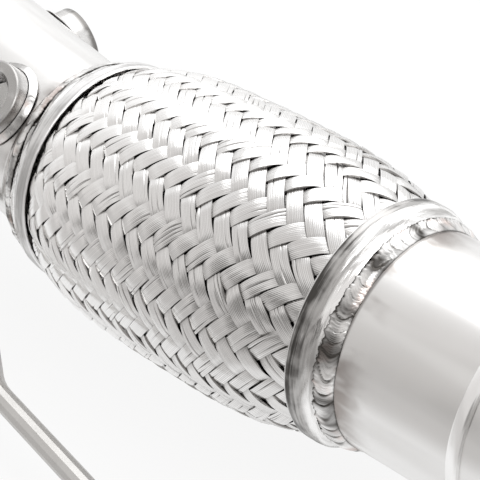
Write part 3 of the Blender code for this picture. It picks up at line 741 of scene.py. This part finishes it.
def plate_frame(node):
    """A plate's face centre as a matrix whose Z axis looks out of the pipe, with its side and thickness."""
    z_axis = facing(node)
    x_axis = Vector((0, 0, 1)).cross(z_axis).normalized()
    y_axis = z_axis.cross(x_axis)
    spans = [extent(node, direction) for direction in (x_axis, y_axis, z_axis)]
    centre = x_axis * (sum(spans[0]) / 2) + y_axis * (sum(spans[1]) / 2) + z_axis * spans[2][1]
    matrix = Matrix.Translation(centre) @ Matrix((x_axis, y_axis, z_axis)).transposed().to_4x4()
    return matrix, spans[0][1] - spans[0][0], spans[2][1] - spans[2][0]


def circle(x, y, radius, steps):
    angles = [2 * math.pi * k / steps for k in range(steps)]
    return [(x + radius * math.cos(a), y + radius * math.sin(a)) for a in angles]


def square(half, corner, inset):
    points = []
    for turn, (sx, sy) in enumerate(((1, 1), (-1, 1), (-1, -1), (1, -1))):
        for k in range(13):
            angle = math.pi / 2 * (turn + k / 12)
            x = sx * (half - corner) + (corner - inset) * math.cos(angle)
            y = sy * (half - corner) + (corner - inset) * math.sin(angle)
            points.append((x, y))
    return points


def make_plate(node, bore, bolt_edge, finish):
    matrix, side, thickness = plate_frame(node)
    edges = [lambda inset: square(side / 2, FLANGE_CORNER, inset)]
    edges.append(lambda inset: circle(0, 0, bore + inset, BORE_STEPS))
    for sx in (-1, 1):
        for sy in (-1, 1):
            place = (sx * (side / 2 - bolt_edge), sy * (side / 2 - bolt_edge))
            edges.append(lambda inset, place=place: circle(*place, BOLT_HOLE_RADIUS + inset, HOLE_STEPS))
    levels = []
    for k in range(4):
        angle = math.pi / 2 * k / 3
        levels.append((PLATE_EDGE * (1 - math.sin(angle)), -PLATE_EDGE * (1 - math.cos(angle))))
    levels += [(inset, -thickness - z) for inset, z in reversed(levels)]
    plate = bmesh.new()
    flats = ([], [])
    for edge in edges:
        loops = [[plate.verts.new((x, y, z)) for x, y in edge(inset)] for inset, z in levels]
        for upper, lower in zip(loops, loops[1:]):
            for k in range(len(upper)):
                n = (k + 1) % len(upper)
                plate.faces.new((upper[k], upper[n], lower[n], lower[k]))
        for flat, loop in zip(flats, (loops[0], loops[-1])):
            flat += [plate.edges.get((loop[k], loop[(k + 1) % len(loop)])) for k in range(len(loop))]
    for flat in flats:
        bmesh.ops.triangle_fill(plate, edges=flat, use_beauty=True)
        for edge in flat:
            edge.smooth = False
    bmesh.ops.recalc_face_normals(plate, faces=plate.faces)
    for face in plate.faces:
        face.smooth = True
    mesh = bpy.data.meshes.new(node)
    plate.to_mesh(mesh)
    plate.free()
    mesh.transform(matrix)
    add_piece(node, mesh, finish, [node])
    return matrix, thickness


def plate_metal():
    material, shader, place = new_metal("ground_plate")
    patches = place.mottle(40.0)
    scratches = place.stretched((60.0, 60.0, 1500.0)).mottle(1.0, 2.0)
    feed(shader, Base_Color=patches.blend((0.55, 0.545, 0.54), (0.70, 0.695, 0.69)))
    feed(shader, Roughness=0.26 + 0.16 * scratches)
    feed(shader, Normal=bump(scratches, 0.00005))
    return material


def make_flange_weld(name, matrix, thickness, tube_radius):
    turn = matrix.to_3x3()
    heading = np.array(turn @ Vector((0, 0, 1)))
    centre = np.array(matrix.translation) - heading * (thickness + FIT)
    x_axis, y_axis = np.array(turn @ Vector((1, 0, 0))), np.array(turn @ Vector((0, 1, 0)))
    root = tube_radius + FIT

    def out(share):
        angle = (2 * math.pi * share)[:, None]
        return np.cos(angle) * x_axis + np.sin(angle) * y_axis

    def corner(share):
        return centre + root * out(share)

    def back(share):
        return -heading + 0 * out(share)

    walls = (corner, out, back)
    legs = (WELD_LEG, WELD_LEG)
    length = 2 * math.pi * root
    heights = (FLANGE_COIN, FLANGE_RIPPLE)
    make_bead(name, bead_grid(walls, legs, FLANGE_WELD_RISE, length, weld_random, *heights), weld_finish)


plate_finish = plate_metal()
plates = (("outlet", PIPE_RADIUS, OUTLET_BOLT_EDGE), ("inlet", INLET_RADIUS, INLET_BOLT_EDGE))
for label, radius, bolt_edge in plates:
    place, thickness = make_plate(label + "_flange", radius + FIT, bolt_edge, plate_finish)
    make_flange_weld(f"weld_{label}_flange", place, thickness, radius)

# The inlet tube. Bright stainless tube, drawn down to a smaller size just past the collar, where it
# also turns a little, and bent once more before its flange. Two holes lie under the bungs.
KINK_START = 0.016              # past the rim
KINK_RADIUS = 0.020
KINK_ANGLE = 9.0                # degrees
KINK_ROLL = 39.0                # degrees that the kink leans up from the level
INLET_RUN = 0.120               # straight, between the kink and the bend
INLET_BEND_RADIUS = 0.105
INLET_BEND_ANGLE = 50.0
INLET_TAIL = 0.030              # straight, after the bend
INLET_STAIN = 0.010
BUNG_BORE = 0.0089
FRONT_BUNG = (0.017, 224.0)     # distance along the straight run, and degrees round it
REAR_BUNG = (0.064, 352.0)


def around(heading, side, degrees):
    angle = math.radians(degrees)
    return side * math.cos(angle) + heading.cross(side) * math.sin(angle)


def bung_frame(run_start, heading, distance, side, degrees):
    """A bung's foot on the tube's axis. Its Z axis runs out of the tube, its X axis along it."""
    outward = around(heading, side, degrees)
    turn = Matrix((heading, outward.cross(heading), outward)).transposed().to_4x4()
    return Matrix.Translation(run_start + heading * distance) @ turn


def inlet_line():
    roll = math.radians(KINK_ROLL)
    start = middle - Vector((rim_reach + TUBE_START, 0, 0))
    line = CentreLine(start, (-1, 0, 0), (0, 1, 0)).run(KINK_START - TUBE_START, 3)
    neck_start = len(line.stations) - 1
    line.bend(KINK_RADIUS, KINK_ANGLE, Vector((0, math.cos(roll), math.sin(roll))), 8)
    neck_end = len(line.stations) - 1
    run_start, heading, side = line.end()
    line.run(INLET_RUN, 30)
    toward = facing("inlet_flange")
    toward = (toward - heading * toward.dot(heading)).normalized()
    line.bend(INLET_BEND_RADIUS, INLET_BEND_ANGLE, toward, 32).run(INLET_TAIL, 6)
    count = len(line.stations)
    share = ease(neck_start, neck_end, np.arange(count))
    radii = PIPE_RADIUS + (INLET_RADIUS - PIPE_RADIUS) * share
    return line, radii, (run_start, heading, side)


def cut_hole(piece, place):
    disc = circle(0, 0, BUNG_BORE, 64)
    grid = np.array([[place @ Vector((x, y, z)) for x, y in disc] for z in (0.0, 2 * INLET_RADIUS)])
    points = grid.reshape(-1, 3).tolist()
    count = len(disc)
    faces = [(k, (k + 1) % count, count + (k + 1) % count, count + k) for k in range(count)]
    faces += [tuple(range(count))[::-1], tuple(range(count, 2 * count))]
    mesh = bpy.data.meshes.new("hole")
    mesh.from_pydata(points, [], faces)
    drill = bpy.data.objects.new("hole", mesh)
    bpy.context.scene.collection.objects.link(drill)
    cut = piece.modifiers.new("hole", "BOOLEAN")
    cut.operation = "DIFFERENCE"
    cut.object = drill
    shown = piece.evaluated_get(bpy.context.evaluated_depsgraph_get())
    drilled = bpy.data.meshes.new_from_object(shown)
    piece.modifiers.clear()
    piece.data = drilled
    bpy.data.objects.remove(drill)


def make_inlet():
    line, radii, (run_start, heading, side) = inlet_line()
    heated = middle.x - rim_reach - WELD_END
    finish = tube_metal("inlet_tube_polish", ((heated, INLET_STAIN),))
    grid = tube_grid(line.stations, radii)
    piece = make_piece("inlet_tube", [grid], finish, ["inlet_tube"], looped=True)
    places = []
    for distance, degrees in (FRONT_BUNG, REAR_BUNG):
        place = bung_frame(run_start, heading, distance, side, degrees)
        cut_hole(piece, place)
        places.append(place)
    return places


bung_places = make_inlet()

# The bungs. Turned stainless bosses with a fine sensor thread, their feet shaped to the tube, each
# set over its hole and welded all round. Their open ends are darkened, partly by heat stain and partly
# by painted shade, the rear one's most.
BUNG_RADIUS = 0.014
BUNG_HEIGHT = 0.007
BUNG_CHAMFER = 0.0010
BUNG_WELD = 0.0022
BUNG_COIN = 0.0002
BUNG_RIPPLE = 0.00005
BUNG_HEAT_AND_SHADE = (0.35, 0.85)        # how dark the front one's end is painted, heat stain and shade, and the rear one's
THREAD_PITCH = 0.0015
THREAD_DEPTH = 0.0007
THREAD_ROWS = 49
BUNG_STEPS = 96


def saddle(radius, angle):
    """Height over the tube's axis of a point on its surface, at this distance from the bung's axis."""
    return np.sqrt(INLET_RADIUS ** 2 - (radius * np.sin(angle)) ** 2) + FIT


def moved(place, grid):
    matrix = np.array(place)
    return grid @ matrix[:3, :3].T + matrix[:3, 3]


def make_bung(name, place, finish):
    top = INLET_RADIUS + BUNG_HEIGHT
    angle = np.linspace(0, 2 * math.pi, BUNG_STEPS, endpoint=False)
    rows = [(BUNG_RADIUS, saddle(BUNG_RADIUS, angle))]
    for turn in np.radians(np.linspace(0, 90, 6)):
        radius = BUNG_RADIUS - BUNG_CHAMFER * (1 - math.cos(turn))
        rows.append((radius, top - BUNG_CHAMFER * (1 - math.sin(turn)) + 0 * angle))
    rows.append((BUNG_BORE + BUNG_CHAMFER, top + 0 * angle))
    foot = saddle(BUNG_BORE, angle)
    for share in np.linspace(0, 1, THREAD_ROWS):
        height = (top - BUNG_CHAMFER) * (1 - share) + foot * share
        groove = np.abs(((height / THREAD_PITCH - angle / (2 * math.pi)) % 1.0) * 2 - 1)
        lead = ease(0.0, 0.12, share)
        rows.append((BUNG_BORE - THREAD_DEPTH * groove * lead, height))
    grid = [np.stack([r * np.cos(angle), r * np.sin(angle), z], axis=-1) for r, z in rows]
    make_piece(name, [moved(place, np.array(grid))], finish, [name], looped=True)


def make_bung_weld(name, place):
    radius = BUNG_RADIUS + FIT
    turn = np.array(place.to_3x3())

    def out(share):
        angle = 2 * math.pi * share
        return np.stack([np.cos(angle), np.sin(angle), 0 * angle], axis=-1) @ turn.T

    def corner(share):
        angle = 2 * math.pi * share
        points = np.stack([radius * np.cos(angle), radius * np.sin(angle), saddle(radius, angle)], axis=-1)
        return moved(place, points)

    def up(share):
        return turn[:, 2] + 0 * out(share)

    walls = (corner, out, up)
    legs = (BUNG_WELD, BUNG_WELD)
    length = 2 * math.pi * radius
    laid = bead_grid(walls, legs, 0.0, length, weld_random, BUNG_COIN, BUNG_RIPPLE)
    make_bead(name, laid, weld_finish)


def turned_metal(name, seat, heat_and_shade):
    """Turned steel, darkened at its open end by scorch stain and painted shade. The seat's Z axis is the
    bung's own.
    """
    material, shader, place = new_metal(name)
    axis = seat.col[2].to_3d()
    below_top = INLET_RADIUS + BUNG_HEIGHT + axis.dot(seat.translation) - place.along(axis)
    patches = place.mottle(80.0)
    plain = patches.blend((0.54, 0.53, 0.52), (0.72, 0.712, 0.704))
    # Heat stain and painted shade at the open end.
    heated = below_top.fade(0.0036, 0.0014) * place.mottle(110.0).fade(0.28, 0.46)
    feed(shader, Base_Color=(heat_and_shade * heated).blend(plain, (0.13, 0.122, 0.115)))
    feed(shader, Roughness=0.20 + 0.14 * place.mottle(700.0))
    return material


for label, heat_and_shade, place in zip(("front", "rear"), BUNG_HEAT_AND_SHADE, bung_places):
    make_bung("bung_" + label, place, turned_metal("turned_boss_" + label, place, heat_and_shade))
    make_bung_weld("weld_bung_" + label, place)

# The hanger rod. Drawn steel bar, bent twice, laid along the inlet tube and held by a bead on each
# side. Its free end runs beside the flex section. The bar and its beads keep their solids.
def rod_metal():
    material, shader, place = new_metal("drawn_bar")
    patches = place.mottle(120.0)
    feed(shader, Base_Color=patches.blend((0.55, 0.54, 0.525), (0.67, 0.66, 0.645)))
    feed(shader, Roughness=0.40 + 0.10 * place.mottle(400.0))
    return material


rod_finishes = {"hanger_rod": rod_metal(), "weld_hanger_upper": weld_finish, "weld_hanger_lower": weld_finish}
for node, finish in rod_finishes.items():
    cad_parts[node].data.materials.clear()
    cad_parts[node].data.materials.append(finish)

# The studio. A plain pale floor under a white dome, which has one darker side for the metal to show,
# two soft lamps, and the camera at the photograph's angle.
FLOOR_SIZE = 12.0
CAMERA_OFFSET = Vector((0.2940, -0.3538, 0.3283))    # from the outlet collar's rim
CAMERA_FORWARD = Vector((-0.5955, 0.5911, -0.5440))
CAMERA_LENS = 130.5
DARK_SIDE = Vector((0.02, -1.0, 0.02)).normalized()  # the way to the dome's darker side
DOME_STRENGTH = 1.12
BACKDROP = 0.97                 # the white that the camera sees past the floor
FLOOR_GLOW = 0.88               # share of the floor's tone that is its own glow, where it is seen
FLOOR_WHITE = (0.985, 0.985, 0.985)
FLOOR_DIM = (0.58, 0.565, 0.555)    # what metal mirrors of the floor on the dark side
WINDOW_HEIGHT = 0.54            # how high a paler streak lies across the dark side


def pale_floor():
    material = bpy.data.materials.new("pale_floor")
    material.use_nodes = True
    tree = material.node_tree
    shader = tree.nodes["Principled BSDF"]
    shader.inputs["Base Color"].default_value = (0.90, 0.90, 0.90, 1.0)
    shader.inputs["Roughness"].default_value = 0.8
    shader.inputs["Specular IOR Level"].default_value = 0.1
    glow = tree.nodes.new("ShaderNodeEmission")
    path = tree.nodes.new("ShaderNodeLightPath")
    seen = Socket(tree, path.outputs["Is Camera Ray"])
    mirrored = Socket(tree, path.outputs["Is Glossy Ray"])
    through = Socket(tree, path.outputs["Is Transmission Ray"])
    share = FLOOR_GLOW * seen.maths("MAXIMUM", seen.maths("MAXIMUM", seen, mirrored), through)
    shade = mirrored * point_of(tree).along(DARK_SIDE).fade(0.09, 0.18)
    tree.links.new(shade.blend(FLOOR_WHITE, FLOOR_DIM).socket, glow.inputs["Color"])
    mix = tree.nodes.new("ShaderNodeMixShader")
    tree.links.new(share.socket, mix.inputs[0])
    tree.links.new(shader.outputs[0], mix.inputs[1])
    tree.links.new(glow.outputs[0], mix.inputs[2])
    tree.links.new(mix.outputs[0], tree.nodes["Material Output"].inputs["Surface"])
    return material


def make_floor():
    half = FLOOR_SIZE / 2
    corners = [(x * half, y * half, 0) for x, y in ((-1, -1), (1, -1), (1, 1), (-1, 1))]
    mesh = bpy.data.meshes.new("floor")
    mesh.from_pydata(corners, [], [(0, 1, 2, 3)])
    mesh.materials.append(pale_floor())
    floor = bpy.data.objects.new("floor", mesh)
    bpy.context.scene.collection.objects.link(floor)


def make_dome():
    world = bpy.data.worlds.new("white_dome")
    bpy.context.scene.world = world
    world.use_nodes = True
    tree = world.node_tree
    coordinates = tree.nodes.new("ShaderNodeTexCoord")
    way = Socket(tree, coordinates.outputs["Generated"])
    toward = way.along(DARK_SIDE)
    dim = ((0.32, (0.71, 0.695, 0.685)), (0.86, (0.69, 0.673, 0.662)), (0.93, (0.24, 0.233, 0.226)))
    stops = ((0.0, (1.0, 1.0, 1.0)), *dim)
    shade = toward.node("ShaderNodeValToRGB", {0: toward}, stops=stops)
    window = (way.axis(2) - WINDOW_HEIGHT).size().fade(0.15, 0.03) * toward.fade(0.25, 0.50)
    colour = (0.6 * window).blend(shade, (0.84, 0.835, 0.825))
    path = tree.nodes.new("ShaderNodeLightPath")
    seen = Socket(tree, path.outputs["Is Camera Ray"])
    background = tree.nodes["Background"]
    backdrop = 3 * (BACKDROP / DOME_STRENGTH,)
    tree.links.new(seen.blend(colour, backdrop).socket, background.inputs["Color"])
    background.inputs["Strength"].default_value = DOME_STRENGTH


def add_lamp(name, place, aim, size, power):
    lamp = bpy.data.lights.new(name, "AREA")
    lamp.size = size
    lamp.energy = power
    holder = bpy.data.objects.new(name, lamp)
    holder.location = place
    holder.rotation_mode = "QUATERNION"
    holder.rotation_quaternion = (Vector(aim) - Vector(place)).to_track_quat("-Z", "Y")
    bpy.context.scene.collection.objects.link(holder)


def add_camera():
    data = bpy.data.cameras.new("camera")
    data.lens = CAMERA_LENS
    data.sensor_width = 36.0
    camera = bpy.data.objects.new("camera", data)
    camera.location = middle + Vector((rim_reach, 0, 0)) + CAMERA_OFFSET
    camera.rotation_mode = "QUATERNION"
    camera.rotation_quaternion = CAMERA_FORWARD.to_track_quat("-Z", "Y")
    bpy.context.scene.collection.objects.link(camera)
    bpy.context.scene.camera = camera


make_floor()
make_dome()
add_lamp("overhead_lamp", (-0.3, 0.9, 1.6), middle, size=2.0, power=15.0)
add_lamp("side_lamp", (1.4, -0.2, 1.1), middle, size=0.9, power=5.0)
add_camera()
bpy.context.scene.view_settings.view_transform = "Standard"
